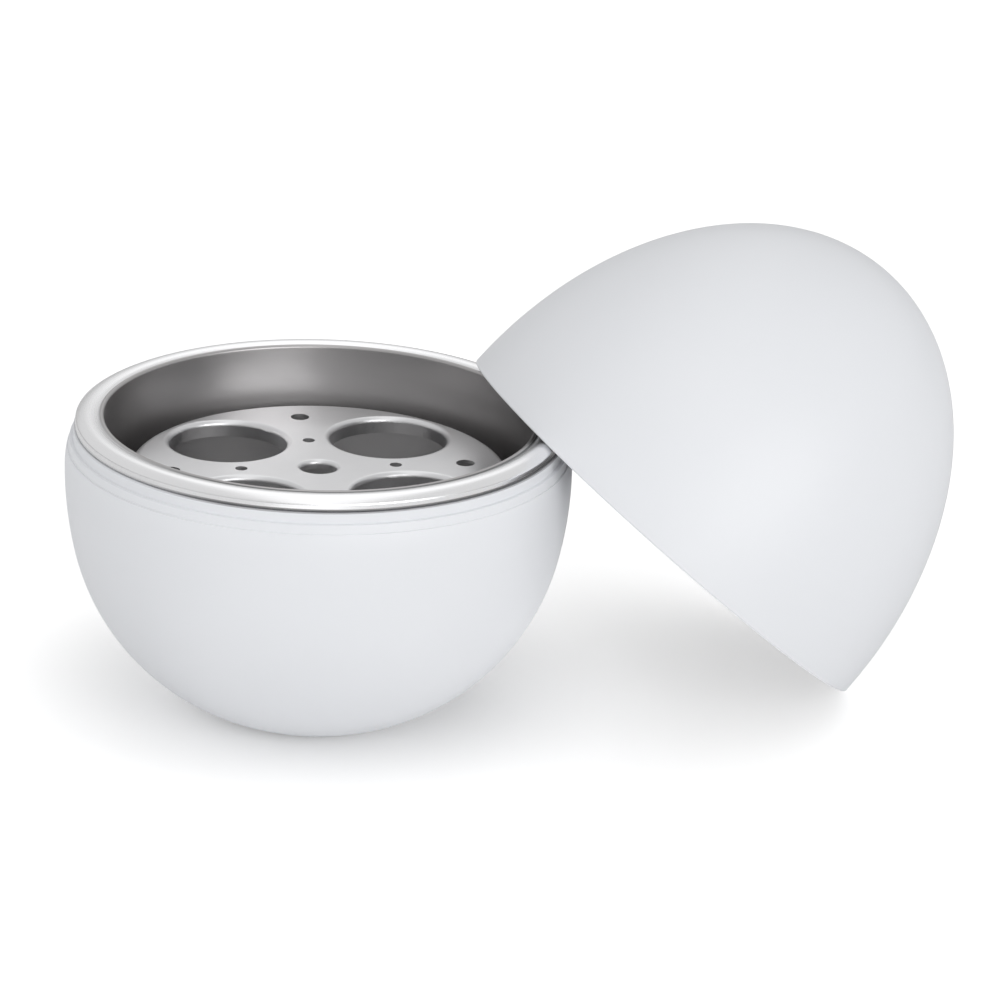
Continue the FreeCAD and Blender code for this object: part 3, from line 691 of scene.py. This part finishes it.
view_turn = 15.84 * degree
shadow_heart = (-5.5 * mm, 9.9 * mm, 0)
card_fade = 40 * mm


def ray_kinds(finish):
    """Values that are 1 for a ray from the camera, and for one that was reflected or let through."""
    camera = finish.node("LightPath", output="Is Camera Ray")
    glossy = finish.node("LightPath", output="Is Glossy Ray")
    clear = finish.node("LightPath", output="Is Transmission Ray")
    return camera, glossy + clear


def sideways(finish, vector):
    """How far a place or direction lies to either side of the photograph's line of sight."""
    across = (math.cos(view_turn), -math.sin(view_turn), 0)
    side = finish.node("VectorMath", {"operation": "DOT_PRODUCT"}, {0: vector, 1: across}, "Value")
    return finish.node("Math", {"operation": "ABSOLUTE"}, {0: side})


def table_white():
    """A matt white that glows for the camera, with a painted shadow, and a glowing strip for the
    metal.
    """
    finish = Finish("table_white")
    camera, mirrored = ray_kinds(finish)
    place = finish.node("TexCoord", output="Object")
    heart = {0: place, 1: shadow_heart}
    away = finish.node("VectorMath", {"operation": "DISTANCE"}, heart, "Value")
    # painted shadow: the camera's glow is weaker round the bowl's foot
    seen = finish.ramp(away, 40 * mm, 100 * mm, 0.21, 0.47)
    behind = finish.node("SeparateXYZ", {}, {"Vector": place}, "Y")
    # painted reflection: a strip of the table glows for mirrored rays only, like a white card
    strip = finish.ramp(sideways(finish, place), 120 * mm, 50 * mm, 0.05, 0.5)
    card = strip * finish.ramp(behind, 0, -card_fade)
    matt = finish.node("BsdfDiffuse", {}, {"Color": (0.86, 0.86, 0.86, 1)})
    light = finish.node("Emission", {}, {"Strength": seen * camera + card * mirrored})
    return finish.surface(finish.node("AddShader", {}, {0: matt, 1: light}))


table_mesh.materials.append(table_white())
print("table", 2 * table_radius, "m wide")

# %% [markdown]
# ## The light
# The room is white to the camera, and a plain soft grey to the surfaces that it lights. Polished
# metal needs something to mirror, so reflections see grey walls and a long white light overhead.
# One wide lamp stands low in front and one at the left. The lid shades the bowl's flank beside it,
# so a small card that shines upwards lies on the table between the two, out of sight.

# %% Light the room
ambient = 0.65
overhead_light = 0.45


def white_room():
    """White for the camera, grey walls and a light overhead for the metal, even grey light."""
    finish = Finish("white_room", world=True)
    camera, mirrored = ray_kinds(finish)
    direction = finish.node("TexCoord", output="Generated")
    height = finish.node("SeparateXYZ", {}, {"Vector": direction}, output="Z")
    overhead = finish.ramp(height, 0.3, 0.6) * finish.ramp(sideways(finish, direction), 0.3, 0.1)
    walls = finish.ramp(height, 0.0, 0.3, 0.42, 0.72)
    lit = 1 - camera - mirrored
    strength = camera + mirrored * (walls + overhead * overhead_light) + lit * ambient
    white = {"Color": (1, 1, 1, 1), "Strength": strength}
    return finish.surface(finish.node("Background", {}, white))


bpy.context.scene.world = white_room()


def add_sun(name, azimuth, height, power, width, mirrored=True):
    """A far, wide and soft light from a direction: azimuth 0 is behind a camera that looks along
    +Y. The metal shows it only if it's mirrored."""
    lamp = bpy.data.lights.new(name, "SUN")
    lamp.energy = power
    lamp.angle = width * degree
    holder = bpy.data.objects.new(name, lamp)
    side = math.cos(height * degree)
    back = Vector((math.sin(azimuth * degree) * side, -math.cos(azimuth * degree) * side,
                   math.sin(height * degree)))
    holder.rotation_euler = (-back).to_track_quat("-Z", "Y").to_euler()
    holder.visible_glossy = mirrored
    bpy.context.scene.collection.objects.link(holder)


def add_card(name, centre, width, depth, strength):
    """A card on the table that shines upwards and can't be seen. At a strength of 1 it is as bright
    as a white wall, and a lamp's power is four times its area times that brightness."""
    lamp = bpy.data.lights.new(name, "AREA")
    lamp.shape = "RECTANGLE"
    lamp.size = width
    lamp.size_y = depth
    lamp.energy = 4 * width * depth * strength
    holder = bpy.data.objects.new(name, lamp)
    holder.matrix_world = Matrix.Translation(centre) @ Matrix.Rotation(math.pi, 4, "X")
    holder.visible_camera = False
    holder.visible_glossy = False
    bpy.context.scene.collection.objects.link(holder)


add_sun("front_softbox", azimuth=15, height=10, power=1.33, width=50)
add_sun("left_softbox", azimuth=-90, height=30, power=0.39, width=50, mirrored=False)
add_card("gap_card", (98 * mm, -8 * mm, 1 * mm), width=50 * mm, depth=110 * mm, strength=1.6)
print("world and", len(bpy.data.lights), "lamps")

# %% [markdown]
# ## The camera
# The photograph was taken from well back with a long lens, a little above the rim, and the camera
# was rolled by two degrees. The fit of the bowl's and the lid's outlines gave these values.

# %% Place the camera
camera_distance = 1.6
camera_tilt = 20.30 * degree
camera_roll = 2.03 * degree
aim_right = 51.22 * mm
aim_up = 61.06 * mm
focal_pixels = 5782
frame_pixels = 1006
sensor = 36.0

right = Vector((math.cos(view_turn), -math.sin(view_turn), 0))
ahead = Vector((math.sin(view_turn), math.cos(view_turn), 0))
view = ahead * math.cos(camera_tilt) - Vector((0, 0, 1)) * math.sin(camera_tilt)
upright = right.cross(view)
rolled_right = right * math.cos(camera_roll) + upright * math.sin(camera_roll)
rolled_up = upright * math.cos(camera_roll) - right * math.sin(camera_roll)
aim = right * aim_right + Vector((0, 0, aim_up))

lens = bpy.data.cameras.new("camera")
lens.sensor_fit = "HORIZONTAL"
lens.sensor_width = sensor
lens.lens = focal_pixels / frame_pixels * sensor
lens.clip_start = 0.05
lens.clip_end = 50
camera = bpy.data.objects.new("camera", lens)
bpy.context.scene.collection.objects.link(camera)
turned = Matrix((rolled_right, rolled_up, -view)).transposed().to_4x4()
camera.matrix_world = Matrix.Translation(aim - view * camera_distance) @ turned
bpy.context.scene.camera = camera
bpy.context.scene.view_settings.view_transform = "Standard"
camera_place = [round(c, 3) for c in camera.matrix_world.translation]
print("lens", round(lens.lens, 1), "mm, camera at", camera_place)
